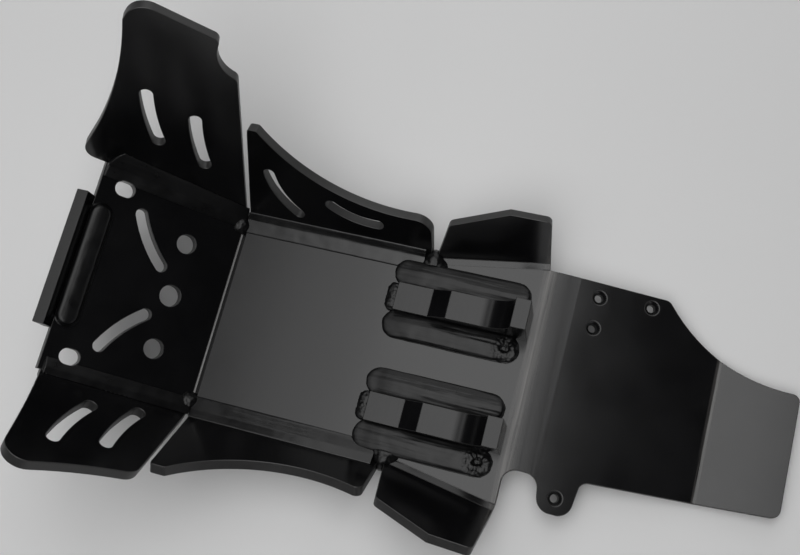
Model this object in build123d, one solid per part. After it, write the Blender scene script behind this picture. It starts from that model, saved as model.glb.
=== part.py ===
from build123d import *
from math import cos, radians, sin, tan
import os

# Skid plate of an off-road motorbike: thick black plastic sheet, folded and welded.
# Frame: X to the rider's right, Y forward, Z up. The origin is the middle of the inside
# fold between the front ramp and the flat floor. All sizes are millimetres and degrees.

# Folded base sheet
sheet = 8.0
fold_radius = 1.5
half_width = 84.5
ramp_length = 125.0
ramp_angle = 40.0
floor_length = 268.0
rear_angle = 12.0
rear_length = 137.0
rear_bend_radius = 150.0
tail_length = 64.0

# Plan of the rear half of the sheet
rear_half_width = 95.0
rear_straight = 97.0
sweep_radius = 135.0
tail_right = 45.5
tail_left = 51.0
left_edge = 61.5
plan_corner_radius = 7.0
tail_corner_radius = 6.0
notch_wall = 65.2
notch_width = 26.0
notch_radius = 11.0
lug_hole_x = -78.5
lug_radius = 12.4
lug_flat = 1.6
lug_shoulder = 4.0

# Rear flaps, folded up in two steps along lines that splay outwards
flap_gap = 6.0
flap_margin = 10.0
flap_line_front = 79.5
flap_line_rear = 94.5
flap_facet = 5.5
flap_angle = 54.0
flap_peak_right = 46.3
flap_peak_left = 57.3
flap_peak_at = 59.0
flap_front_setback = 11.0
flap_front_drop = 13.0
flap_rear_drop = 6.0
flap_corner_radius = 5.0

# Holes in the ramp; the slots and vents keep their distance from its front edge
drain_hole = 17.5
side_hole = 16.0
hole_row = 43.8
side_hole_x = 44.7
clamp_slot_x = 69.6
clamp_slot_inset = 20.4
clamp_slot_width = 12.5
clamp_slot_length = 16.0
vent_width = 9.5
vent_points = [(55.0, 39.0), (38.5, 49.2), (20.5, 66.5)]

# Countersunk screw holes of the rear panel, behind the bend
screw_hole = 6.4
screw_head = 12.0
screw_row = 32.5
screw_outer_x = 82.5
screw_inner_x = 57.5
screw_rear_x = 85.5
screw_rear = 74.0

# Wings: a front pair beside the ramp and a side pair beside the floor, leaning outwards
front_gap = 1.2
side_gap = 2.5
right_front_lean_angle = 28.0
left_front_lean_angle = 37.0
right_side_lean_angle = 25.0
left_side_lean_angle = 32.0

# Right front wing: tall, with a scoop in its top edge, measured in its own plane. Reaches are
# past the ramp's front edge; slot points are back from the wing's front and up from its seam.
right_wing_rake = 60.4
right_wing_height = 161.5
right_wing_reach = 43.5
right_brow_drop = 19.5
right_toe_reach = 21.0
right_toe_height = 35.5
right_front_sag = 4.8
right_top_radius = 15.0
right_toe_radius = 11.0
scoop_radius = 26.0
scoop_crest_radius = 5.5
scoop_heel_radius = 6.0
right_slot_points = [(40.7, 86.0), (54.7, 62.5), (67.7, 46.0)]
right_slot_width = 10.0
right_slot_pitch = 41.5
right_slot_fall = 5.0

# Left front wing: lower, with rounded top corners
left_wing_rake = 62.2
left_foot_inset = 3.0
left_wing_reach = 26.0
left_wing_height = 113.8
left_rear_drop = 22.8
left_front_sag = 1.6
left_top_sag = 3.6
left_top_radius = 15.5
left_rear_radius = 14.0
left_slot_points = [(41.0, 73.0), (54.8, 45.5), (68.0, 27.0)]
left_slot_width = 10.5
left_slot_pitch = 39.0
left_slot_fall = 7.5

# Side wings: high tip beside the front wing, hollow top edge, square rear end. The rear bay is
# the floor behind them; slot points are from the fold or the rear end, and up from the seam.
rear_bay = 106.0
side_end_flat = 0.5
side_tip_radius = 3.0
side_brow_radius = 2.0
right_side_setback = 12.5
right_side_tip = 105.0
right_tip_flat = 8.0
right_side_rear = 41.0
right_side_hollow_radius = 141.0
right_side_corner = 13.5
left_side_setback = 8.0
left_side_tip = 86.0
left_tip_flat = 12.5
left_side_rear = 45.5
left_side_hollow_radius = 122.0
left_side_corner = 5.5
side_slot_width = 9.5
side_slot_points = [(27.5, 60.0), (34.0, 39.0), (48.5, 20.0)]
rear_slot_points = [(84.0, 38.0), (67.0, 29.0), (45.0, 26.0)]

# Front lip, an upright strip fitted against the ramp's front edge
lip_x = 2.0
lip_length = 108.0
lip_thickness = 9.5
lip_height = 12.5

# Frame hooks: stepped blocks whose rear horn catches a cross tube of the frame
hook_x = 45.5
hook_width = 23.0
hook_length = 110.0
hook_setback = 15.0
hook_toe_height = 9.0
hook_seat_height = 19.0
hook_horn_height = 46.0
hook_horn_thickness = 12.0
hook_toe_length = 29.0
hook_step_length = 16.0
seat_radius = 27.0

# Weld beads
floor_leg = 13.5
ramp_leg = 11.5
side_wing_leg = 9.5
right_leg_fold = 12.0
right_leg_front = 19.0
left_leg_fold = 6.0
left_leg_front = 4.5
weld_step = 0.8
weld_cove = 5.0
weld_inset = 4.0
seam_nose_radius = 22.0
loaf_skirt = 2.0
loaf_skirt_height = 1.0
loaf_round = 3.0
hook_weld_width = 23.0
hook_weld_height = 7.5
hook_weld_crown = 1.2
hook_weld_overlap = 1.5
hook_weld_lead = 7.0
hook_weld_short = 4.0
crater_radius = 7.0
crater_depth = 3.0
toe_weld_width = 8.0
toe_weld_height = 5.0
toe_weld_overlap = 2.0
toe_weld_margin = 0.5
lip_weld_width = 21.0
lip_weld_height = 5.5
lip_weld_crown = 1.4
lip_weld_overlap = 2.0
lip_weld_margin = 2.5
corner_weld_radius = 10.0
corner_weld_inset = 7.0
corner_weld_ahead = 4.5
corner_weld_rise = 8.0
rear_corner_weld_radius = 9.5
rear_corner_inset = 2.0
rear_corner_rise = 6.5
rear_lump_radius = 16.0
rear_lump_inset = 6.0
rear_lump_rise = 5.5

# Places worked out from the sizes above
side_wing_length = floor_length - rear_bay
flap_start = side_wing_length + flap_gap
flap_end = floor_length - flap_margin
hook_rear = floor_length - hook_setback
hook_front = hook_rear - hook_length
screw_row_y = -(floor_length + screw_row)
right_wing_front = ramp_length + right_wing_reach
right_wing_toe = ramp_length + right_toe_reach
left_wing_front = ramp_length + left_wing_reach
left_wing_foot = ramp_length - left_foot_inset

# Directions of the folded panels
ramp_y = cos(radians(ramp_angle))
ramp_z = sin(radians(ramp_angle))
up_ramp = Vector(0, ramp_y, ramp_z)
off_ramp = Vector(0, -ramp_z, ramp_y)
rear_y = cos(radians(rear_angle))
rear_z = sin(radians(rear_angle))
crease_y = -(floor_length + rear_length * rear_y)
crease_z = -rear_length * rear_z
tail_y = crease_y - tail_length
ramp_plane = Plane(origin=(0, 0, 0), x_dir=(1, 0, 0), z_dir=off_ramp)
rear_plane = Plane(origin=(0, -floor_length, 0), x_dir=(1, 0, 0), z_dir=(0, -rear_z, rear_y))
through = 400.0


def round_corners(outline, corners):
    """Round the corners of a flat outline that lie nearest to the given points."""
    for point, radius in corners:
        nearest = outline.vertices().sort_by_distance(Vertex(point[0], point[1], 0))[0]
        outline = fillet(nearest, radius)
    return outline


def closed_face(*edges):
    return make_face(Curve() + list(edges))


def mirrored(shape):
    return mirror(shape, about=Plane.YZ)


def folded_profile():
    """Side view of the sheet: ramp, floor, rear panel and tail with their bends."""
    half_ramp = sheet * tan(radians(ramp_angle / 2))
    half_rear = sheet * tan(radians(rear_angle / 2))
    ramp_top = (ramp_length * ramp_y, ramp_length * ramp_z)
    outline = Polygon(
        ramp_top,
        (0, 0),
        (-floor_length, 0),
        (crease_y, crease_z),
        (tail_y, crease_z),
        (tail_y, crease_z - sheet),
        (crease_y + half_rear, crease_z - sheet),
        (-floor_length + half_rear, -sheet),
        (half_ramp, -sheet),
        (ramp_top[0] + sheet * ramp_z, ramp_top[1] - sheet * ramp_y),
        align=None,
    )
    return round_corners(outline, [
        ((0, 0), fold_radius),
        ((half_ramp, -sheet), fold_radius + sheet),
        ((-floor_length, 0), rear_bend_radius),
        ((-floor_length + half_rear, -sheet), rear_bend_radius - sheet),
        ((crease_y, crease_z), fold_radius),
        ((crease_y + half_rear, crease_z - sheet), fold_radius + sheet),
    ])


def base_plan():
    """Plan of the sheet without the flaps: rear corner sweep, notch and screw lug."""
    front = through / 2
    corner_y = -(flap_end + rear_straight)
    notch_y = -(flap_end + notch_width)
    lug_top = screw_row_y + lug_radius
    lug_bottom = screw_row_y - lug_radius
    lug_out = lug_hole_x - lug_radius
    shoulder = (-left_edge, lug_bottom - lug_shoulder)
    sweep_end = (tail_right, tail_y + plan_corner_radius)
    chain = Polyline(
        sweep_end, (tail_right, tail_y), (-tail_left, tail_y), shoulder,
        (lug_out, lug_bottom), (lug_out, lug_top), (-notch_wall, notch_y), (-notch_wall, -flap_end),
        (-flap_line_rear, -flap_end), (-flap_line_front, -flap_start), (-half_width, -flap_start),
        (-half_width, front), (half_width, front), (half_width, -flap_start),
        (flap_line_front, -flap_start), (flap_line_rear, -flap_end), (rear_half_width, corner_y),
    )
    sweep = RadiusArc((rear_half_width, corner_y), sweep_end, -sweep_radius)
    lug_round = lug_radius - lug_flat / 2
    return round_corners(closed_face(*chain.edges(), sweep), [
        ((tail_right, tail_y), tail_corner_radius),
        ((-tail_left, tail_y), plan_corner_radius),
        (shoulder, plan_corner_radius),
        ((lug_out, lug_bottom), lug_round),
        ((lug_out, lug_top), lug_round),
        ((-notch_wall, notch_y), notch_radius),
        ((-notch_wall, -flap_end), notch_radius),
        ((rear_half_width, corner_y), plan_corner_radius),
    ])


def flap(peak):
    """One rear flap: bend facet and panel, cut to its outline, on the right side."""
    run = Vector(flap_line_rear - flap_line_front, flap_start - flap_end, 0)
    length = run.length
    out = Vector(-run.Y, run.X, 0)
    half = radians(flap_angle / 2)
    full = radians(flap_angle)
    knee = (flap_facet * cos(half), flap_facet * sin(half))
    rise = peak + sheet
    top = (knee[0] + rise * cos(full), knee[1] + rise * sin(full))
    quarter = sheet * tan(radians(flap_angle / 4))
    low_knee = (
        knee[0] + sheet * sin(half) + quarter * cos(half),
        knee[1] - sheet * cos(half) + quarter * sin(half),
    )
    section = Polygon(
        (0, 0), knee, top, (top[0] + sheet * sin(full), top[1] - sheet * cos(full)),
        low_knee, (quarter, -sheet), (0, -sheet), align=None,
    )
    start = Vector(flap_line_front, -flap_start, 0)
    body = extrude(Plane(origin=start, x_dir=out, z_dir=run) * section, amount=length, dir=run)
    side = out.normalized()
    fold = start + side * knee[0] + Vector(0, 0, knee[1])
    panel = Plane(origin=fold, x_dir=run, z_dir=side * -sin(full) + Vector(0, 0, cos(full)))
    below = -2 * (sheet + flap_facet)
    outline = Polygon(
        (0, below), (0, 0), (flap_front_setback, peak - flap_front_drop), (flap_peak_at, peak),
        (length, peak - flap_rear_drop), (length, below), align=None,
    )
    outline = round_corners(outline, [
        ((flap_front_setback, peak - flap_front_drop), flap_corner_radius),
        ((length, peak - flap_rear_drop), flap_corner_radius),
    ])
    return body & extrude(panel * outline, amount=through / 4, both=True)


def arc_slot(points, width):
    return SlotArc(ThreePointArc(*points), height=width)


def ramp_cuts():
    """Clamp slots, vents and round holes of the ramp, drawn on its plane."""
    vent = arc_slot([(x, ramp_length - inset) for x, inset in vent_points], vent_width)
    clamp = SlotOverall(clamp_slot_length, clamp_slot_width, rotation=90)
    clamp = Pos(clamp_slot_x, ramp_length - clamp_slot_inset) * clamp
    side = Pos(side_hole_x, hole_row) * Circle(side_hole / 2)
    right = vent + clamp + side
    cuts = right + mirrored(right) + Pos(0, hole_row) * Circle(drain_hole / 2)
    return extrude(ramp_plane * cuts, amount=3 * sheet, both=True)


def screw_holes():
    """Countersunk holes square to the sloping rear panel."""
    depth = (screw_head - screw_hole) / 2
    holes = Part()
    for x, behind in ((screw_outer_x, screw_row), (screw_inner_x, screw_row),
                      (lug_hole_x, screw_row), (screw_rear_x, screw_rear)):
        place = rear_plane * Pos(x, -behind / rear_y)
        holes += place * Cylinder(screw_hole / 2, 4 * sheet)
        holes += place * Pos(0, 0, -depth / 2) * Cone(screw_hole / 2, screw_head / 2, depth)
        holes += place * Pos(0, 0, sheet / 2) * Cylinder(screw_head / 2, sheet)
    return holes


def base_plate():
    body = extrude(Plane.YZ * folded_profile(), amount=through / 2, both=True)
    body = body & extrude(base_plan(), amount=through, both=True)
    body = body + flap(flap_peak_right) + mirrored(flap(flap_peak_left))
    return body - ramp_cuts() - screw_holes()


def lean_plane(along, above, lean):
    """Plane of a wing's inner face: seam along its X, up the wing along its Y, outwards along Z."""
    angle = radians(lean)
    outward = Vector(cos(angle), 0, 0) - above * sin(angle)
    return Plane(origin=(half_width, 0, 0), x_dir=along, z_dir=outward)


ramp_below = Plane(origin=off_ramp * -sheet, z_dir=off_ramp)
floor_below = Plane(origin=(0, 0, -sheet), z_dir=(0, 0, 1))
foot = 2.5 * sheet


def wing(plane, outline, slots, below):
    """A wing plate, its foot fitted against the side of the base sheet."""
    plate = extrude(plane * (outline - slots), amount=sheet, dir=plane.z_dir)
    plate = split(plate, bisect_by=Plane(origin=(half_width, 0, 0), z_dir=(1, 0, 0)), keep=Keep.TOP)
    return split(plate, bisect_by=below, keep=Keep.TOP)


def slot_pair(points, front, pitch, fall, width):
    """Two equal bent slots of a front wing, the second one further back and lower."""
    slot = arc_slot([(front - back, up) for back, up in points], width)
    return slot + Pos(-pitch, -fall) * slot


def front_wing_right():
    plane = lean_plane(up_ramp, off_ramp, right_front_lean_angle)
    low = right_wing_height - scoop_radius
    heel = (front_gap + low / tan(radians(right_wing_rake)), low)
    crest = (heel[0] + scoop_radius, right_wing_height)
    waist = (right_wing_toe, right_toe_height)
    brow = (right_wing_front, right_wing_height - right_brow_drop)
    peak = (right_wing_front, right_wing_height)
    chain = Polyline(brow, peak, crest)
    scoop = RadiusArc(crest, heel, scoop_radius)
    rest = Polyline(
        heel, (front_gap, 0), (front_gap, -foot), (ramp_length, -foot), (ramp_length, 0),
        (right_wing_toe, 0), waist,
    )
    front = SagittaArc(waist, brow, right_front_sag)
    outline = round_corners(closed_face(*chain.edges(), scoop, *rest.edges(), front), [
        (peak, right_top_radius),
        (crest, scoop_crest_radius),
        (heel, scoop_heel_radius),
        ((right_wing_toe, 0), right_toe_radius),
    ])
    slots = slot_pair(
        right_slot_points, right_wing_front, right_slot_pitch, right_slot_fall, right_slot_width)
    return wing(plane, outline, slots, ramp_below)


def front_wing_left():
    """The left front wing, built on the right side."""
    plane = lean_plane(up_ramp, off_ramp, left_front_lean_angle)
    low = left_wing_height - left_rear_drop
    heel = (front_gap + low / tan(radians(left_wing_rake)), low)
    peak = (left_wing_front, left_wing_height)
    toe = (left_wing_foot, 0)
    front = SagittaArc(toe, peak, left_front_sag)
    top = SagittaArc(peak, heel, left_top_sag)
    rest = Polyline(heel, (front_gap, 0), (front_gap, -foot), (left_wing_foot, -foot), toe)
    outline = round_corners(closed_face(front, top, *rest.edges()), [
        (peak, left_top_radius),
        (heel, left_rear_radius),
    ])
    slots = slot_pair(left_slot_points, left_wing_front, left_slot_pitch, left_slot_fall, left_slot_width)
    return wing(plane, outline, slots, ramp_below)


def side_wing(lean, setback, tip, tip_flat, rear, hollow_radius, corner_radius, slots):
    """A side wing, built on the right side."""
    plane = lean_plane(Vector(0, 1, 0), Vector(0, 0, 1), lean)
    tip_x = -(side_gap + setback)
    peak = (tip_x, tip)
    brow = (tip_x - tip_flat, tip)
    end = (-side_wing_length, rear)
    knee = (-side_wing_length + corner_radius + side_end_flat, rear)
    hollow = RadiusArc(knee, brow, -hollow_radius)
    rest = Polyline(brow, peak, (-side_gap, 0), (-side_gap, -foot), (-side_wing_length, -foot), end, knee)
    outline = round_corners(closed_face(hollow, *rest.edges()), [
        (peak, side_tip_radius),
        (brow, side_brow_radius),
        (end, corner_radius),
    ])
    return wing(plane, outline, slots, floor_below)


def side_slots():
    front = arc_slot([(-behind, up) for behind, up in side_slot_points], side_slot_width)
    rear = arc_slot([(ahead - side_wing_length, up) for ahead, up in rear_slot_points], side_slot_width)
    return front + rear


def front_lip():
    """Upright strip in front of the ramp, its foot bevelled to lie against the ramp's end."""
    edge = (ramp_length * ramp_y, ramp_length * ramp_z)
    under = (edge[0] + sheet * ramp_z, edge[1] - sheet * ramp_y)
    top = edge[1] + lip_height
    outer = edge[0] + lip_thickness
    outline = Polygon(edge, (edge[0], top), (outer, top), (outer, under[1]), under, align=None)
    return Pos(lip_x, 0, 0) * extrude(Plane.YZ * outline, amount=lip_length / 2, both=True)


def frame_hook():
    """Right hook: low toe, ramped step, seat and a horn with a round inside corner."""
    step = -(hook_front + hook_toe_length)
    seat = step - hook_step_length
    horn = -(hook_rear - hook_horn_thickness)
    chain = Polyline(
        (horn, hook_horn_height), (-hook_rear, hook_horn_height), (-hook_rear, 0), (-hook_front, 0),
        (-hook_front, hook_toe_height), (step, hook_toe_height), (seat, hook_seat_height),
        (horn + seat_radius, hook_seat_height),
    )
    seat_end = (horn + seat_radius, hook_seat_height)
    seat_arc = RadiusArc(seat_end, (horn, hook_seat_height + seat_radius), seat_radius)
    edges = list(chain.edges()) + [seat_arc]
    if hook_horn_height > hook_seat_height + seat_radius:
        edges.append(Line((horn, hook_seat_height + seat_radius), (horn, hook_horn_height)))
    return Pos(hook_x, 0, 0) * extrude(Plane.YZ * closed_face(*edges), amount=hook_width / 2, both=True)


def bead(width, height, length):
    """Rounded weld bead along X on the XY plane, domed at both ends."""
    radius = (width * width / 4 + height * height) / (2 * height)
    reach = length / 2 - width / 2
    core = Rot(0, 90, 0) * Cylinder(radius, 2 * reach)
    core = core + Pos(reach, 0, 0) * Sphere(radius) + Pos(-reach, 0, 0) * Sphere(radius)
    return split(Pos(0, 0, height - radius) * core, bisect_by=Plane.XY, keep=Keep.TOP)


def loaf(width, height, crown, length):
    """Flat weld bead along X on the XY plane: thin skirt under a crowned body with round edges."""
    inner = width - 2 * loaf_skirt
    radius = (inner * inner / 4 + crown * crown) / (2 * crown)
    body = extrude(SlotOverall(length - 2 * loaf_skirt, inner), amount=height)
    body = body & Pos(0, 0, height - radius) * Rot(0, 90, 0) * Cylinder(radius, length)
    rim = [edge for edge in body.edges() if edge.bounding_box().min.Z > height / 2]
    return fillet(rim, loaf_round) + extrude(SlotOverall(length, width), amount=loaf_skirt_height)


def hook_weld(side, crater, block):
    """Fat bead along one side of the right hook; side is 1 outside and -1 inside."""
    x = hook_x + side * (hook_width / 2 + hook_weld_width / 2 - hook_weld_overlap)
    first, last = -hook_front + hook_weld_lead, -hook_rear + hook_weld_short
    body = loaf(hook_weld_width, hook_weld_height, hook_weld_crown, first - last)
    body = Pos(x, (first + last) / 2, 0) * Rot(0, 0, 90) * body
    if crater:
        dip = Pos(0, last + hook_weld_width / 2, hook_weld_height - crater_depth + crater_radius)
        body = body - Pos(x, 0, 0) * dip * Sphere(crater_radius)
    return body - block


def hook_toe_weld(block):
    y = -hook_front + (toe_weld_width - toe_weld_overlap) / 2
    body = bead(toe_weld_width + toe_weld_overlap, toe_weld_height, hook_width - 2 * toe_weld_margin)
    return Pos(hook_x, y, 0) * body - block


def lip_weld(lip):
    body = loaf(lip_weld_width, lip_weld_height, lip_weld_crown, lip_length - 2 * lip_weld_margin)
    return ramp_plane * Pos(lip_x, ramp_length + lip_weld_overlap - lip_weld_width / 2, 0) * body - lip


corner = Vector(half_width, 0, 0)
miter = Plane(origin=corner, z_dir=up_ramp + Vector(0, 1, 0))


def weld_section(at, run, base_leg, wing_leg, lean):
    """Coved section of a seam weld, square to its run, at a point of the seam."""
    angle = radians(lean)
    half = radians((90 + lean) / 2)
    toe = (-wing_leg * sin(angle), wing_leg * cos(angle))
    brink = (toe[0] + weld_step * (cos(angle) + sin(angle)), toe[1] + weld_step * (sin(angle) - cos(angle)))
    section = Polygon(
        (0, 0), (base_leg, 0), (base_leg - weld_step, weld_step),
        (weld_cove * cos(half), weld_cove * sin(half)), brink, toe, align=None,
    )
    return Plane(origin=at, x_dir=(-1, 0, 0), z_dir=run) * section


def front_seam_weld(end, lean, leg_fold, leg_front):
    """Weld between ramp and front wing, its leg on the wing changing evenly towards the front."""
    leg_start = leg_fold - (leg_front - leg_fold) * foot / end
    first = weld_section(corner - up_ramp * foot, up_ramp, ramp_leg, leg_start, lean)
    last = weld_section(corner + up_ramp * end, up_ramp, ramp_leg, leg_front, lean)
    body = split(loft([first, last], ruled=True), bisect_by=miter, keep=Keep.TOP)
    tip = ramp_plane * Pos(half_width, end - seam_nose_radius, 0)
    wide = 2 * (seam_nose_radius + leg_front)
    beyond = tip * Pos(0, wide / 2, 0) * Box(wide, wide, wide)
    return body - (beyond - tip * Rot(0, 90, 0) * Cylinder(seam_nose_radius, wide))


def side_seam_weld(end, lean):
    ahead = Vector(0, 1, 0)
    first = weld_section(corner - ahead * end, ahead, floor_leg, side_wing_leg, lean)
    body = extrude(first, amount=end + foot, dir=ahead)
    return split(body, bisect_by=miter, keep=Keep.BOTTOM)


def main():
    os.makedirs("parts", exist_ok=True)
    base = base_plate()
    parts = {"base_plate": base}
    parts["front_lip"] = front_lip()
    parts["lip_weld"] = lip_weld(parts["front_lip"])
    hook = frame_hook()
    toe = hook_toe_weld(hook)
    corner_at = (half_width - corner_weld_inset, corner_weld_ahead, corner_weld_rise - corner_weld_radius)
    corner_lump = split(Pos(*corner_at) * Sphere(corner_weld_radius), bisect_by=Plane.XY, keep=Keep.TOP)
    corner_lump = split(corner_lump, bisect_by=ramp_plane, keep=Keep.TOP)
    corner_lump = split(corner_lump, bisect_by=Plane(origin=corner, z_dir=(1, 0, 0)), keep=Keep.BOTTOM)
    bay = -(side_wing_length + flap_start) / 2
    plug_at = (half_width - rear_corner_inset, bay, rear_corner_rise - rear_corner_weld_radius)
    plug = split(Pos(*plug_at) * Sphere(rear_corner_weld_radius), bisect_by=floor_below, keep=Keep.TOP)
    lump_at = (half_width - rear_lump_inset, bay, rear_lump_rise - rear_lump_radius)
    lump = split(Pos(*lump_at) * Sphere(rear_lump_radius), bisect_by=Plane.XY, keep=Keep.TOP)
    rear_lump = plug + lump
    wings = {
        "right": (
            front_wing_right(),
            side_wing(right_side_lean_angle, right_side_setback, right_side_tip, right_tip_flat,
                      right_side_rear, right_side_hollow_radius, right_side_corner, side_slots()),
            front_seam_weld(ramp_length - weld_step, right_front_lean_angle, right_leg_fold, right_leg_front),
            side_seam_weld(side_wing_length - weld_inset, right_side_lean_angle),
        ),
        "left": (
            front_wing_left(),
            side_wing(left_side_lean_angle, left_side_setback, left_side_tip, left_tip_flat,
                      left_side_rear, left_side_hollow_radius, left_side_corner, Sketch()),
            front_seam_weld(left_wing_foot - weld_step, left_front_lean_angle, left_leg_fold, left_leg_front),
            side_seam_weld(side_wing_length - weld_inset, left_side_lean_angle),
        ),
    }
    for name, (front, side, front_weld, side_weld) in wings.items():
        right_base = base if name == "right" else mirrored(base)
        outer = hook_weld(1, name == "left", hook)
        inner = hook_weld(-1, name == "right", hook)
        front_weld = front_weld - right_base - ramp_cuts()
        side_weld = side_weld - outer - right_base
        front_corner = corner_lump
        rear_corner = rear_lump - outer
        for neighbour in (right_base, front, side, front_weld, side_weld):
            front_corner = front_corner - neighbour
            rear_corner = rear_corner - neighbour
        pieces = {
            "front_wing_" + name: front,
            "side_wing_" + name: side,
            "front_wing_weld_" + name: front_weld,
            "side_wing_weld_" + name: side_weld,
            "front_corner_weld_" + name: front_corner,
            "rear_corner_weld_" + name: rear_corner,
            "frame_hook_" + name: hook,
            "hook_weld_" + name + "_outer": outer,
            "hook_weld_" + name + "_inner": inner,
            "hook_toe_weld_" + name: toe,
        }
        for node, piece in pieces.items():
            parts[node] = piece if name == "right" else mirrored(piece)
    for node, piece in parts.items():
        export_step(piece, "parts/" + node + ".step")


main()
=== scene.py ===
"""Studio scene of a welded black plastic skid plate for an off-road motorbike.

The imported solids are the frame. Each sheet piece is a copy of its solid with eased edges and a sawn
finish on its cut faces. Each weld is a copy with a worked bead surface. Lengths are in metres.
"""

import math
from functools import partial

import bmesh
import bpy
from mathutils import Matrix, Vector
from mathutils.bvhtree import BVHTree


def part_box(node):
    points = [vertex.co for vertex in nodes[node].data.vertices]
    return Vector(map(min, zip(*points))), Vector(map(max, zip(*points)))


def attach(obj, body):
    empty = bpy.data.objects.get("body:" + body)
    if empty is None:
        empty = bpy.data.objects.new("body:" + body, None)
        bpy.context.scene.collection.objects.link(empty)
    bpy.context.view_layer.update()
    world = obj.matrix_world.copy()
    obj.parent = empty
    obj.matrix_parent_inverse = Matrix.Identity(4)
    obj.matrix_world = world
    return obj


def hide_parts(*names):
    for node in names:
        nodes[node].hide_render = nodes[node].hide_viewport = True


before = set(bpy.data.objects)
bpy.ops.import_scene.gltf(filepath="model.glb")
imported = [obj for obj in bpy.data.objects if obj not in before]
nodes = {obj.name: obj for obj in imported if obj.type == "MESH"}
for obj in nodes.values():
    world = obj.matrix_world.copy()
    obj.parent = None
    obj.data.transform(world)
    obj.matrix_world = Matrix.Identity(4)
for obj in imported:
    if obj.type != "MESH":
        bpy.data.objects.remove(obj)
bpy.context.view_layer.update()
MM = 0.001

# Sheet, and the directions of its panels
SHEET = 8 * MM
RAMP_ANGLE = math.radians(40)
UP_RAMP = Vector((0, math.cos(RAMP_ANGLE), math.sin(RAMP_ANGLE)))
ALONG = Vector((0, 1, 0))
ACROSS = Vector((1, 0, 0))

# Kinds of socket in the node groups
NUMBER = "NodeSocketFloat"
VECTOR = "NodeSocketVector"
GEOMETRY = "NodeSocketGeometry"
MATERIAL = "NodeSocketMaterial"


# Node helpers

def wire(tree, source, socket):
    """Wire another node's output to a socket, or set a plain value on it."""
    if isinstance(source, bpy.types.NodeSocket):
        tree.links.new(source, socket)
    else:
        socket.default_value = source


def new_node(tree, kind, **settings):
    """A node with its settings."""
    node = tree.nodes.new(kind)
    for key, value in settings.items():
        setattr(node, key, value)
    return node


def math_node(tree, operation, *values, clamp=False):
    node = new_node(tree, "ShaderNodeMath", operation=operation, use_clamp=clamp)
    for socket, value in zip(node.inputs, values):
        wire(tree, value, socket)
    return node.outputs[0]


def sums(tree):
    """Short names for adding and multiplying in a tree."""
    return partial(math_node, tree, "ADD"), partial(math_node, tree, "MULTIPLY")


def vector_math(tree, operation, a, b=None, scale=None):
    node = new_node(tree, "ShaderNodeVectorMath", operation=operation)
    for index, value in ((0, a), (1, b), (3, scale)):
        if value is not None:
            wire(tree, value, node.inputs[index])
    return node.outputs["Value" if operation in ("DOT_PRODUCT", "LENGTH") else "Vector"]


def remap(tree, value, low, high, to_low=0.0, to_high=1.0, smooth=False):
    """A value carried from one range to another and held at its ends."""
    node = new_node(tree, "ShaderNodeMapRange", interpolation_type="SMOOTHSTEP" if smooth else "LINEAR")
    wire(tree, value, node.inputs["Value"])
    for name, number in (("From Min", low), ("From Max", high), ("To Min", to_low), ("To Max", to_high)):
        wire(tree, number, node.inputs[name])
    return node.outputs["Result"]


def band(tree, coordinate, middle, reach):
    """Mask that is 1 at one place along an axis and fades to 0 at its reach."""
    away = math_node(tree, "ABSOLUTE", math_node(tree, "SUBTRACT", coordinate, middle))
    return remap(tree, away, 0, reach, 1, 0, smooth=True)


def axis_parts(tree, vector):
    """The X, Y and Z of a vector."""
    node = new_node(tree, "ShaderNodeSeparateXYZ")
    wire(tree, vector, node.inputs[0])
    return node.outputs


def mixed_colour(tree, factor, first, second):
    node = new_node(tree, "ShaderNodeMix", data_type="RGBA")
    wire(tree, factor, node.inputs["Factor"])
    for label, colour in (("A", first), ("B", second)):
        wire(tree, (*colour, 1) if isinstance(colour, tuple) else colour, node.inputs[label])
    return node.outputs["Result"]


def noise(tree, vector, scale, detail=2.0, roughness=0.5, seed=None):
    node = new_node(tree, "ShaderNodeTexNoise", noise_dimensions="3D" if seed is None else "4D")
    values = dict(Vector=vector, Scale=scale, Detail=detail, Roughness=roughness)
    for label, value in values.items():
        wire(tree, value, node.inputs[label])
    if seed is not None:
        wire(tree, seed, node.inputs["W"])
    return node.outputs["Fac"]


def stretched(tree, vector, scale):
    node = new_node(tree, "ShaderNodeMapping")
    wire(tree, vector, node.inputs["Vector"])
    wire(tree, scale, node.inputs["Scale"])
    return node.outputs["Vector"]


def node_group(name, kind, inputs, outputs):
    """A node group with named sockets; returns it with its inner inputs and outputs."""
    group = bpy.data.node_groups.new(name, kind)
    for label, socket_kind, value in inputs:
        socket = group.interface.new_socket(label, in_out="INPUT", socket_type=socket_kind)
        if value is not None:
            socket.default_value = value
    for label, socket_kind in outputs:
        group.interface.new_socket(label, in_out="OUTPUT", socket_type=socket_kind)
    return group, group.nodes.new("NodeGroupInput").outputs, group.nodes.new("NodeGroupOutput").inputs


# Shared effects

SMUDGE_SPREAD = 0.3, 0.7
SAW_STRETCH = 1.0, 1.0, 0.35
SAW_CLOUD_SCALE = 60.0
SAW_CLOUD_SPREAD = 0.25, 0.75
SAW_CLOUD_STRENGTH = 0.7, 1.3


def make_pebble_group():
    """Fine pebbled skin of extruded sheet, with smudges from handling."""
    group, given, out = node_group(
        "pebbled_skin", "ShaderNodeTree",
        [("Vector", VECTOR, None), ("Pebble Scale", NUMBER, 900.0), ("Smudge Scale", NUMBER, 18.0)],
        [("Height", NUMBER), ("Smudge", NUMBER)],
    )
    pebble = noise(group, given["Vector"], given["Pebble Scale"], detail=1.0)
    wire(group, pebble, out["Height"])
    cloud = noise(group, given["Vector"], given["Smudge Scale"], detail=4.0, roughness=0.6)
    wire(group, remap(group, cloud, *SMUDGE_SPREAD, smooth=True), out["Smudge"])
    return group


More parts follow.
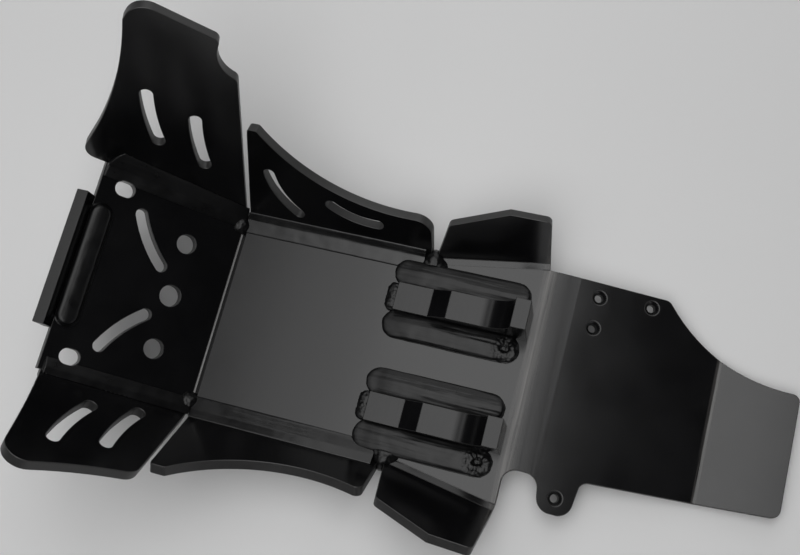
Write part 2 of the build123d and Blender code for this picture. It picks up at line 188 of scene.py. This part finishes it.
def make_saw_group():
    """Marks of a saw or router on a cut edge: fine streaks across the sheet's thickness."""
    group, given, out = node_group(
        "saw_marks", "ShaderNodeTree",
        [("Vector", VECTOR, None), ("Streak Scale", NUMBER, 420.0)],
        [("Height", NUMBER), ("Streak", NUMBER)],
    )
    drawn = stretched(group, given["Vector"], SAW_STRETCH)
    streak = noise(group, drawn, given["Streak Scale"], detail=3.0, roughness=0.65)
    wire(group, streak, out["Height"])
    cloud = noise(group, given["Vector"], SAW_CLOUD_SCALE, detail=3.0)
    strength = remap(group, cloud, *SAW_CLOUD_SPREAD, *SAW_CLOUD_STRENGTH)
    wire(group, math_node(group, "MULTIPLY", streak, strength), out["Streak"])
    return group


pebbled_skin = make_pebble_group()
saw_marks = make_saw_group()


def new_material(name):
    """A node material; returns it with its tree and its shader's sockets."""
    material = bpy.data.materials.new(name)
    material.use_nodes = True
    tree = material.node_tree
    return material, tree, tree.nodes["Principled BSDF"].inputs


def place_group(tree, group, **values):
    """Place a shared effect; returns its outputs and the place on the piece that it reads."""
    node = new_node(tree, "ShaderNodeGroup", node_tree=group)
    place = new_node(tree, "ShaderNodeTexCoord").outputs["Object"]
    wire(tree, place, node.inputs["Vector"])
    for label, value in values.items():
        wire(tree, value, node.inputs[label.replace("_", " ")])
    return node.outputs, place


def bump(tree, shader, height, distance, strength=1.0):
    node = new_node(tree, "ShaderNodeBump")
    for label, value in (("Strength", strength), ("Distance", distance), ("Height", height)):
        wire(tree, value, node.inputs[label])
    wire(tree, node.outputs["Normal"], shader["Normal"])


# Black plastic of the sheet, the blocks and the welds: colours and roughness from least to most
PLASTIC_IOR = 1.54
GRAIN_STRENGTH = 0.5
SHEET_BLACKS = (0.0022, 0.0022, 0.0025), (0.0036, 0.0036, 0.004)
SHEET_ROUGHNESS = 0.175, 0.215
SHEET_SKIN = dict(Pebble_Scale=900.0, Smudge_Scale=18.0)
WELD_BLACKS = (0.0024, 0.0024, 0.0026), (0.004, 0.004, 0.0043)
WELD_SKIN = dict(Pebble_Scale=700.0, Smudge_Scale=60.0)
BLOCK_SKIN = dict(Pebble_Scale=700.0, Smudge_Scale=40.0)
BLOCK_ROUGHNESS = 0.19, 0.24
BLOCK_IOR = 1.46
BEAD_IOR = 1.4
CUTTER_STRETCH = 40.0, 900.0, 900.0
CUTTER_SPREAD = 0.3, 0.7
CUTTER_DEPTH = 0.01 * MM
CUTTER_STRENGTH = 0.6
SAWN_BLACKS = (0.007, 0.007, 0.0072), (0.021, 0.0207, 0.0204)
# Eased rims are paler than the sheet: worn edges, and also a painted highlight along them.
RIM_WEAR_AND_HIGHLIGHT_BLACKS = (0.01, 0.01, 0.0105), (0.028, 0.0275, 0.027)
SAW_SPREAD = 0.2, 0.8

# Folds of the base. The fold's line of stress whitening with a painted highlight, and the bends' bands of
# stress whitening with painted sheen, each have a place along the plate and a reach, and the groove has two
# ends.
FOLD_WHITENING_AND_HIGHLIGHT = (0.3, 0.295, 0.29)
FOLD_LINE = 0.5 * MM, 0.8 * MM
FOLD_GROOVE = -2.9 * MM, -0.3 * MM
GROOVE_DEPTH = 1.5 * MM
FOLDED_GRAIN = 0.01 * MM
# Pale grey streaked along the bends: stress whitening, and also a painted sheen where the bends catch the
# light.
BEND_STRESS_AND_SHEEN_GREY = (0.13, 0.124, 0.118)
REAR_STRESS_AND_SHEEN = -259 * MM, 8 * MM
TAIL_STRESS_AND_SHEEN = -402 * MM, 3 * MM
STRESS_AND_SHEEN_ROUGHNESS = 0.06
STREAK_STRETCH = 12.0, 420.0, 60.0
STRESS_AND_SHEEN_SPREAD = 0.3, 0.7
CREASE_SPREAD = 0.25, 0.6
CREASE_STRENGTH = 0.6, 1.0

# Rear bend: where its extra tilt starts, is most, has turned back and is gone, and its tilts
BEND_STATIONS = -249 * MM, -264 * MM, -284.2 * MM, -312 * MM
BEND_AHEAD = math.radians(6.2)
BEND_BEHIND = math.radians(0.35)


def make_pebbled_plastic(name, skin_scales, blacks, roughness, ior, grain):
    """Black plastic with a pebbled skin, paler and duller where it is smudged."""
    material, tree, shader = new_material(name)
    skin, _ = place_group(tree, pebbled_skin, **skin_scales)
    wire(tree, mixed_colour(tree, skin["Smudge"], *blacks), shader["Base Color"])
    wire(tree, remap(tree, skin["Smudge"], 0, 1, *roughness), shader["Roughness"])
    shader["IOR"].default_value = ior
    bump(tree, shader, skin["Height"], grain, GRAIN_STRENGTH)
    return material


def bend_rounding(tree, along):
    """Height of the rear bend's soft start and end.

    The heated strip turns early and ends softly. Its extra tilt grows smoothly to the second station,
    falls in a straight line to the third and fades to the fourth. The heights are that tilt's integrals.
    """
    plus, times = sums(tree)
    start, most, end, gone = BEND_STATIONS
    grow = remap(tree, along, start, most)
    rise = times(math_node(tree, "POWER", grow, 3.0), plus(times(grow, -0.5), 1.0))
    drop = remap(tree, along, most, end)
    line = times(drop, plus(times(drop, -(BEND_AHEAD + BEND_BEHIND) / 2), BEND_AHEAD))
    fade = math_node(tree, "POWER", remap(tree, along, gone, end), 3.0)
    behind = plus(times(line, end - most), times(fade, BEND_BEHIND * (gone - end) / 3))
    return plus(times(rise, BEND_AHEAD * (most - start)), behind)


def make_folded_sheet():
    """The same sheet: its sharp fold whitened with a painted highlight line and grooved, its bends
    stress-whitened with a painted sheen, its rear bend rounded.
    """
    material, tree, shader = new_material("folded_sheet")
    plus, times = sums(tree)
    skin, place = place_group(tree, pebbled_skin, **SHEET_SKIN)
    along = axis_parts(tree, place)["Y"]
    streaks = noise(tree, stretched(tree, place, STREAK_STRETCH), 1.0, detail=3.0, roughness=0.6)

    # Bands along the rear and tail bends painted paler: stress whitening and painted sheen.
    bends = math_node(tree, "MAXIMUM", band(tree, along, *REAR_STRESS_AND_SHEEN), band(tree, along, *TAIL_STRESS_AND_SHEEN))
    stress_and_sheen = times(bends, remap(tree, streaks, *STRESS_AND_SHEEN_SPREAD))
    # Thin pale line along the sharp fold: stress whitening, and also a painted highlight.
    crease_whitening_and_highlight = times(band(tree, along, *FOLD_LINE), remap(tree, streaks, *CREASE_SPREAD, *CREASE_STRENGTH))
    plain = mixed_colour(tree, skin["Smudge"], *SHEET_BLACKS)
    with_stress_and_sheen = mixed_colour(tree, stress_and_sheen, plain, BEND_STRESS_AND_SHEEN_GREY)
    wire(tree, mixed_colour(tree, crease_whitening_and_highlight, with_stress_and_sheen, FOLD_WHITENING_AND_HIGHLIGHT), shader["Base Color"])
    roughness = remap(tree, skin["Smudge"], 0, 1, *SHEET_ROUGHNESS)
    wire(tree, plus(roughness, times(stress_and_sheen, STRESS_AND_SHEEN_ROUGHNESS)), shader["Roughness"])
    shader["IOR"].default_value = PLASTIC_IOR

    groove = remap(tree, along, *FOLD_GROOVE, 0.0, -GROOVE_DEPTH)
    grain = plus(times(skin["Height"], FOLDED_GRAIN), groove)
    bump(tree, shader, plus(bend_rounding(tree, along), grain), distance=1.0)
    return material


def make_machined_block():
    """A block milled from bar: the same black plastic, a little duller, with fine cutter lines."""
    material, tree, shader = new_material("machined_block")
    skin, place = place_group(tree, pebbled_skin, **BLOCK_SKIN)
    cutter = noise(tree, stretched(tree, place, CUTTER_STRETCH), 1.0)
    wire(tree, mixed_colour(tree, skin["Smudge"], *SHEET_BLACKS), shader["Base Color"])
    wire(tree, remap(tree, cutter, *CUTTER_SPREAD, *BLOCK_ROUGHNESS), shader["Roughness"])
    shader["IOR"].default_value = BLOCK_IOR
    bump(tree, shader, cutter, CUTTER_DEPTH, CUTTER_STRENGTH)
    return material


def make_cut_plastic(name, blacks, streak_scale, roughness, depth=None):
    """Cut black plastic with saw marks in its colour and gloss, and in its surface if they have a depth."""
    material, tree, shader = new_material(name)
    marks, _ = place_group(tree, saw_marks, Streak_Scale=streak_scale)
    wire(tree, mixed_colour(tree, marks["Streak"], *blacks), shader["Base Color"])
    wire(tree, remap(tree, marks["Streak"], *SAW_SPREAD, *roughness), shader["Roughness"])
    shader["IOR"].default_value = PLASTIC_IOR
    if depth:
        bump(tree, shader, marks["Height"], depth, GRAIN_STRENGTH)
    return material


black_sheet = make_pebbled_plastic("black_sheet", SHEET_SKIN, SHEET_BLACKS, SHEET_ROUGHNESS,
                                   ior=PLASTIC_IOR, grain=0.02 * MM)
folded_sheet = make_folded_sheet()
machined_block = make_machined_block()
sawn_edge = make_cut_plastic("sawn_edge", SAWN_BLACKS, streak_scale=420.0, roughness=(0.36, 0.5),
                             depth=0.06 * MM)
# The eased rims' material: wear, and a painted highlight along the edges.
rim_wear_and_highlight = make_cut_plastic("rim_wear_and_highlight", RIM_WEAR_AND_HIGHLIGHT_BLACKS, streak_scale=260.0, roughness=(0.34, 0.46))

# Welds as they were laid, and pared down with a blade, which leaves them duller
weld_plastic = make_pebbled_plastic("weld_plastic", WELD_SKIN, WELD_BLACKS, roughness=(0.19, 0.25),
                                    ior=PLASTIC_IOR, grain=0.02 * MM)
trimmed_bead = make_pebbled_plastic("trimmed_bead", WELD_SKIN, WELD_BLACKS, roughness=(0.27, 0.37),
                                    ior=BEAD_IOR, grain=0.03 * MM)


# Sheet pieces

SAME_POINT = 0.002 * MM
INSIDE = 0.05 * MM
FLAT_ANGLE = math.radians(0.4)
SHARP_ANGLE = math.radians(20)
EDGE_EASE = 0.45 * MM
EASE_STEPS = 2
FLAT_WEIGHT = 50
FACE, SAWN, RIM = 0, 1, 2

# Most plastic behind a face that was not cut
SHEET_DEPTH = 10.4 * MM
LIP_DEPTH = 14.3 * MM
BLOCK_DEPTH = 78 * MM


def joined_mesh(node):
    """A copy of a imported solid's mesh with its loose triangles joined."""
    mesh = bmesh.new()
    mesh.from_mesh(nodes[node].data)
    bmesh.ops.remove_doubles(mesh, verts=mesh.verts, dist=SAME_POINT)
    return mesh


def stored_mesh(name, mesh):
    """A working mesh turned into a stored one."""
    data = bpy.data.meshes.new(name)
    mesh.to_mesh(data)
    mesh.free()
    return data


def new_object(name, data):
    """An object in the scene."""
    item = bpy.data.objects.new(name, data)
    bpy.context.collection.objects.link(item)
    return item


def add_piece(name, data, node):
    """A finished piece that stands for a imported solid."""
    piece = new_object(name, data)
    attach(piece, "root")
    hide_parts(node)
    return piece


def mark_sawn(mesh, depth):
    """Give the sawn finish to the faces with more plastic behind them than an uncut face has."""
    tree = BVHTree.FromBMesh(mesh)
    for face in mesh.faces:
        start = face.calc_center_median() - face.normal * INSIDE
        behind = tree.ray_cast(start, -face.normal)[3]
        face.material_index = SAWN if behind is None or behind > depth else FACE


def sheet_piece(name, node, depth=SHEET_DEPTH, face=black_sheet):
    """A piece cut from sheet or bar, with its edges eased."""
    mesh = joined_mesh(node)
    mark_sawn(mesh, depth)
    bmesh.ops.dissolve_limit(mesh, angle_limit=FLAT_ANGLE, verts=mesh.verts, edges=mesh.edges,
                             delimit={"MATERIAL"})
    data = stored_mesh(name, mesh)
    for material in (face, sawn_edge, rim_wear_and_highlight):
        data.materials.append(material)
    data.shade_smooth()
    data.set_sharp_from_angle(angle=SHARP_ANGLE)
    piece = add_piece(name, data, node)
    bevel = piece.modifiers.new("eased_edges", "BEVEL")
    bevel.width = EDGE_EASE
    bevel.segments = EASE_STEPS
    bevel.limit_method = "ANGLE"
    bevel.angle_limit = SHARP_ANGLE
    bevel.material = RIM
    bevel.use_clamp_overlap = False
    flat = piece.modifiers.new("flat_faces", "WEIGHTED_NORMAL")
    flat.mode = "FACE_AREA"
    flat.weight = FLAT_WEIGHT
    flat.keep_sharp = True


sheet_piece("folded_base", "base_plate", face=folded_sheet)
for side in ("right", "left"):
    sheet_piece("ramp_wing_" + side, "front_wing_" + side)
    sheet_piece("floor_wing_" + side, "side_wing_" + side)
    sheet_piece("tube_hook_" + side, "frame_hook_" + side, BLOCK_DEPTH, machined_block)
sheet_piece("upright_lip", "front_lip", LIP_DEPTH)


# Weld pieces. Reaches, shares, powers and noise scales of the working are the same for all of them.

WELD_VOXEL = 0.5 * MM
MELT_SHARE = 0.5
FALL_REACH = 26 * MM
CROWN_POWER = 1.2
SHOULDER_POWER = 4.0
SKIRT = 0.06, 0.3
WANDER_SCALE = 90.0
WANDER_TURN = 9.0
DRAG_SCALE = 210.0
DRAG_STRETCH = 0.95
TEAR_SCALE = 210.0
TEAR_REACH = 6 * MM, 15 * MM
TEAR_HEIGHT = 4.4 * MM
CRATER_FROM_END = 11.5 * MM
CRATER_HEIGHT = 5 * MM
NO_CRATER = Vector((0, 0, -1))
STOP_CRATERS = (("right", "inner"), ("left", "outer"))

# How each kind of weld is worked
SEAM_WORK = dict(melted=14, Drag_Height=0.3 * MM, Lump_Height=0.35 * MM)
HOOK_BEAD_WORK = dict(Swell=1.7 * MM, Crown=1.4 * MM, Shoulder=0.3 * MM, Settle=1.1 * MM,
                      Start_Fall=1.6 * MM, Drag_Height=1.7 * MM, Lump_Height=0.9 * MM)
TOE_BEAD_WORK = dict(melted=6, Swell=1.5 * MM, Ripple_Pitch=3.4 * MM, Ripple_Height=0.1 * MM,
                     Lump_Height=1.7 * MM, Lump_Scale=420.0)
FOLD_BLOB_WORK = dict(melted=6, Lump_Height=2.0 * MM, Lump_Scale=190.0)
BAY_BLOB_WORK = dict(melted=6, Lump_Height=2.2 * MM, Lump_Scale=170.0)
LIP_BEAD_WORK = dict(melted=30, Drag_Height=0.3 * MM, Lump_Height=0.6 * MM)

# Seeds of the right side's welds, with the step to the left side's, and of the lip's weld
RAMP_SEAM_SEED, FLOOR_SEAM_SEED, HOOK_BEAD_SEED, TOE_BEAD_SEED = 1.0, 3.0, 6.5, 8.0
FOLD_BLOB_SEED, BAY_BLOB_SEED, LIP_BEAD_SEED = 10.0, 12.0, 14.0
SEED_STEP, HOOK_BEAD_SEED_STEP = 1.0, 1.7


def make_weld_tree():
    """Works a plain bead: crowned, fallen at its start, swollen over its foot, and roughened."""
    tree, given, result = node_group(
        "worked_bead", "GeometryNodeTree",
        [("Geometry", GEOMETRY, None),
         ("Run", VECTOR, (0.0, 1.0, 0.0)),
         ("Across", VECTOR, (1.0, 0.0, 0.0)),
         ("Up", VECTOR, (0.0, 0.0, 1.0)),
         ("Middle", VECTOR, (0.0, 0.0, 0.0)),
         ("Half Width", NUMBER, 9.5 * MM),
         ("Height", NUMBER, 7.5 * MM),
         ("Start", NUMBER, 50.0 * MM),
         ("Swell", NUMBER, 0.0),
         ("Settle", NUMBER, 0.0),
         ("Crown", NUMBER, 0.0),
         ("Shoulder", NUMBER, 0.0),
         ("Start Fall", NUMBER, 0.0),
         ("Ripple Pitch", NUMBER, 5.0 * MM),
         ("Ripple Height", NUMBER, 0.0),
         ("Drag Height", NUMBER, 0.2 * MM),
         ("Lump Height", NUMBER, 0.5 * MM),
         ("Lump Scale", NUMBER, 70.0),
         ("Crater", VECTOR, (0.0, 0.0, -1.0)),
         ("Seed", NUMBER, 0.0),
         ("Material", MATERIAL, None)],
        [("Geometry", GEOMETRY)],
    )
    plus, times = sums(tree)
    vectors = partial(vector_math, tree)

    def rough(vector, scale, detail):
        """Noise about zero that follows the piece's seed."""
        return plus(noise(tree, vector, scale, detail, seed=given["Seed"]), -0.5)

    place = tree.nodes.new("GeometryNodeInputPosition").outputs[0]
    normal = tree.nodes.new("GeometryNodeInputNormal").outputs[0]
    local = vectors("SUBTRACT", place, given["Middle"])
    run = vectors("DOT_PRODUCT", local, given["Run"])
    aside = vectors("DOT_PRODUCT", local, given["Across"])
    outward = math_node(tree, "ABSOLUTE", math_node(tree, "DIVIDE", aside, given["Half Width"]))
    above = vectors("DOT_PRODUCT", local, given["Up"])
    share = math_node(tree, "DIVIDE", above, given["Height"], clamp=True)

    # The upper part settles, sinks towards both sides and falls to the start of the run.
    from_start = math_node(tree, "SUBTRACT", given["Start"], run)
    fall = times(remap(tree, from_start, 0.0, FALL_REACH, 1.0, 0.0, smooth=True), given["Start Fall"])
    crown = times(math_node(tree, "POWER", outward, CROWN_POWER), given["Crown"])
    shoulder = times(math_node(tree, "POWER", outward, SHOULDER_POWER), given["Shoulder"])
    sink = times(plus(plus(given["Settle"], crown), plus(shoulder, fall)), share)
    lowered = vectors("SCALE", given["Up"], scale=times(sink, -1.0))

    # The sides swell outwards over the thin skirt at the foot.
    upright = vectors("DOT_PRODUCT", normal, given["Up"])
    sideways = vectors("SUBTRACT", normal, vectors("SCALE", given["Up"], scale=upright))
    swell = times(given["Swell"], remap(tree, share, *SKIRT, smooth=True))
    swollen = vectors("SCALE", sideways, scale=swell)

    # Ripples cross the run and drag lines follow it. Lumps lie all over, and the stop crater is torn.
    wander = times(rough(place, WANDER_SCALE, 2.0), WANDER_TURN)
    phase = plus(times(math_node(tree, "DIVIDE", run, given["Ripple Pitch"]), 2 * math.pi), wander)
    ripple = times(math_node(tree, "SINE", phase), given["Ripple Height"])
    squeezed = vectors("SUBTRACT", place, vectors("SCALE", given["Run"], scale=times(run, DRAG_STRETCH)))
    drag = times(rough(squeezed, DRAG_SCALE, 3.0), given["Drag Height"])
    lump = times(rough(place, given["Lump Scale"], 1.0), given["Lump Height"])
    from_crater = vectors("LENGTH", vectors("SUBTRACT", place, given["Crater"]))
    near = remap(tree, from_crater, *TEAR_REACH, 1.0, 0.0, smooth=True)
    torn = times(times(rough(place, TEAR_SCALE, 3.0), near), TEAR_HEIGHT)
    total = plus(plus(ripple, drag), plus(lump, torn))
    worked = vectors("ADD", lowered, vectors("SCALE", normal, scale=total))

    shift = tree.nodes.new("GeometryNodeSetPosition")
    wire(tree, given["Geometry"], shift.inputs["Geometry"])
    wire(tree, vectors("ADD", worked, swollen), shift.inputs["Offset"])
    shape = shift.outputs[0]
    for kind in ("GeometryNodeSetShadeSmooth", "GeometryNodeRealizeInstances", "GeometryNodeSetMaterial"):
        step = tree.nodes.new(kind)
        wire(tree, shape, step.inputs[0])
        shape = step.outputs[0]
    wire(tree, given["Material"], step.inputs["Material"])
    wire(tree, shape, result["Geometry"])
    return tree


worked_bead = make_weld_tree()


def set_inputs(modifier, **values):
    """Set a node tree's inputs by their identifiers."""
    identifiers = {item.name: item.identifier for item in modifier.node_group.interface.items_tree
                   if item.in_out == "INPUT"}
    for label, value in values.items():
        identifier = identifiers[label.replace("_", " ")]
        modifier[identifier] = tuple(value) if isinstance(value, Vector) else value


def weld_piece(name, node, run, melted=3, skin=trimmed_bead, **values):
    """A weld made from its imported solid: an even fine skin, worked along its run."""
    blank = stored_mesh(name + "_blank", joined_mesh(node))
    maker = new_object(name + "_blank", blank)
    even = maker.modifiers.new("even_skin", "REMESH")
    even.mode = "VOXEL"
    even.voxel_size = WELD_VOXEL
    melt = maker.modifiers.new("melted_edges", "SMOOTH")
    melt.factor = MELT_SHARE
    melt.iterations = melted
    work = maker.modifiers.new("worked_bead", "NODES")
    work.node_group = worked_bead
    set_inputs(work, Run=run, Material=skin, **values)
    evaluated = maker.evaluated_get(bpy.context.evaluated_depsgraph_get())
    data = bpy.data.meshes.new_from_object(evaluated)
    data.name = name
    maker.modifiers.clear()
    bpy.data.objects.remove(maker)
    bpy.data.meshes.remove(blank)
    add_piece(name, data, node)


def hook_bead(side, place, seed):
    """A fat bead along one side of a hook, from its front end to its stop at the rear."""
    node = "hook_weld_" + side + "_" + place
    low, high = (Vector(corner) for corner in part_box(node))
    middle = Vector(((low.x + high.x) / 2, (low.y + high.y) / 2, 0.0))
    crater = NO_CRATER
    if (side, place) in STOP_CRATERS:
        crater = Vector((middle.x, low.y + CRATER_FROM_END, CRATER_HEIGHT))
    weld_piece("hook_bead_" + side + "_" + place, node, ALONG, Seed=seed, Middle=middle,
               Start=high.y - middle.y, Crater=crater, **HOOK_BEAD_WORK)


for number, side in enumerate(("right", "left")):
    step = SEED_STEP * number
    weld_piece("ramp_seam_" + side, "front_wing_weld_" + side, UP_RAMP,
               Seed=RAMP_SEAM_SEED + step, **SEAM_WORK)
    weld_piece("floor_seam_" + side, "side_wing_weld_" + side, ALONG, skin=weld_plastic,
               Seed=FLOOR_SEAM_SEED + step, **SEAM_WORK)
    for place in ("inner", "outer"):
        hook_bead(side, place, HOOK_BEAD_SEED + HOOK_BEAD_SEED_STEP * number)
    weld_piece("toe_bead_" + side, "hook_toe_weld_" + side, ACROSS,
               Seed=TOE_BEAD_SEED + step, **TOE_BEAD_WORK)
    weld_piece("fold_blob_" + side, "front_corner_weld_" + side, ALONG,
               Seed=FOLD_BLOB_SEED + step, **FOLD_BLOB_WORK)
    weld_piece("bay_blob_" + side, "rear_corner_weld_" + side, ALONG,
               Seed=BAY_BLOB_SEED + step, **BAY_BLOB_WORK)
weld_piece("lip_bead", "lip_weld", ACROSS, Seed=LIP_BEAD_SEED, **LIP_BEAD_WORK)


# Stage, light and camera

REST_FRONT = Vector((0, -0.5 * MM, -SHEET - 0.1 * MM))
FLOOR_RADIUS = 4.0
FLOOR_SIDES = 96
FLOOR_GREYS = (0.70, 0.70, 0.70), (0.74, 0.74, 0.74)
FLOOR_ROUGHNESS = 0.8
FLOOR_CLOUD_SCALE = 3.0
GLOW_REACH = 0.95, 2.8
FAR_GLOW = 0.66
HORIZON = (0.75, 0.75, 0.76)
DIM_ROOM = (0.02, 0.02, 0.021)
HORIZON_EDGE = 0.04, 0.15
OVERHEAD_SIDE = -0.32
OVERHEAD_HEIGHT = 1.5
OVERHEAD_WIDTH = 2.56

# Photograph's camera
IMAGE_WIDTH = 800
FOCAL_PIXELS = 1010
SENSOR_WIDTH = 36
CLIP_NEAR, CLIP_FAR = 0.01, 50
CAMERA_AT = Vector((-108.0, -308.4, 789.3)) * MM
CAMERA_RIGHT = Vector((0.25310, -0.95600, -0.14835))
CAMERA_DOWN = Vector((-0.94516, -0.21163, -0.24876))


def make_pale_floor():
    """Pale matt floor, which past the lamps' reach stays as pale as the horizon, also in reflections."""
    material, tree, shader = new_material("pale_floor")
    place = new_node(tree, "ShaderNodeTexCoord").outputs["Object"]
    cloud = noise(tree, place, FLOOR_CLOUD_SCALE, detail=3.0)
    wire(tree, mixed_colour(tree, cloud, *FLOOR_GREYS), shader["Base Color"])
    shader["Roughness"].default_value = FLOOR_ROUGHNESS
    away = vector_math(tree, "LENGTH", place)
    glow = remap(tree, away, *GLOW_REACH, 0.0, FAR_GLOW, smooth=True)
    rays = tree.nodes.new("ShaderNodeLightPath").outputs
    mirrored = math_node(tree, "MAXIMUM", rays["Is Glossy Ray"], rays["Is Transmission Ray"])
    seen = math_node(tree, "MAXIMUM", rays["Is Camera Ray"], mirrored)
    shader["Emission Color"].default_value = (1, 1, 1, 1)
    wire(tree, math_node(tree, "MULTIPLY", glow, seen), shader["Emission Strength"])
    return material


def make_floor():
    """A disc under the plate, which rests on its fold and on the crease of its tail."""
    mesh = bmesh.new()
    bmesh.ops.create_circle(mesh, cap_ends=True, segments=FLOOR_SIDES, radius=FLOOR_RADIUS)
    under = nodes["base_plate"].data.vertices
    behind = [REST_FRONT - vertex.co for vertex in under if vertex.co.y < -SHEET]
    tilt = max(math.atan2(step.z, step.y) for step in behind)
    place = Matrix.Translation(REST_FRONT) @ Matrix.Rotation(tilt, 4, "X")
    bmesh.ops.transform(mesh, matrix=place, verts=mesh.verts)
    data = stored_mesh("studio_floor", mesh)
    data.materials.append(make_pale_floor())
    floor = new_object("studio_floor", data)


def make_softbox(name, at, aim, width, length, radiance):
    """A rectangular lamp whose face shows the given radiance."""
    lamp = bpy.data.lights.new(name, "AREA")
    lamp.shape = "RECTANGLE"
    lamp.size = width
    lamp.size_y = length
    lamp.energy = radiance * math.pi * width * length
    box = new_object(name, lamp)
    box.location = at
    box.rotation_euler = (Vector(aim) - Vector(at)).to_track_quat("-Z", "Y").to_euler()


def make_overhead(name, forward, length, radiance):
    """A softbox that hangs level over the plate and faces straight down."""
    make_softbox(name, (OVERHEAD_SIDE, forward, OVERHEAD_HEIGHT), (OVERHEAD_SIDE, forward, 0),
                 OVERHEAD_WIDTH, length, radiance)


def make_world():
    """Dim room with a pale band low round the horizon."""
    world = bpy.data.worlds.new("studio_room")
    world.use_nodes = True
    tree = world.node_tree
    direction = new_node(tree, "ShaderNodeTexCoord").outputs["Generated"]
    height = remap(tree, axis_parts(tree, direction)["Z"], *HORIZON_EDGE, smooth=True)
    wire(tree, mixed_colour(tree, height, HORIZON, DIM_ROOM), tree.nodes["Background"].inputs["Color"])
    bpy.context.scene.world = world


def make_camera():
    camera = bpy.data.cameras.new("photo_camera")
    camera.sensor_fit = "HORIZONTAL"
    camera.sensor_width = SENSOR_WIDTH
    camera.lens = FOCAL_PIXELS / IMAGE_WIDTH * SENSOR_WIDTH
    camera.clip_start = CLIP_NEAR
    camera.clip_end = CLIP_FAR
    holder = new_object("photo_camera", camera)
    right, up = CAMERA_RIGHT.normalized(), -CAMERA_DOWN.normalized()
    turn = Matrix((right, up, right.cross(up))).transposed().to_4x4()
    holder.matrix_world = Matrix.Translation(CAMERA_AT) @ turn
    bpy.context.scene.camera = holder


make_floor()
make_overhead("overhead_softbox", forward=-0.31, length=1.02, radiance=2.2)
make_overhead("overhead_middle", forward=0.34, length=0.28, radiance=1.45)
make_overhead("overhead_border", forward=0.62, length=0.28, radiance=0.55)
make_softbox("right_fill", at=(1.9, -0.2, 1.25), aim=(0.0, -0.2, 0), width=2.0, length=1.45, radiance=1.1)
make_overhead("overhead_front", forward=0.99, length=0.42, radiance=1.2)
make_world()
make_camera()
bpy.context.scene.view_settings.view_transform = "Standard"
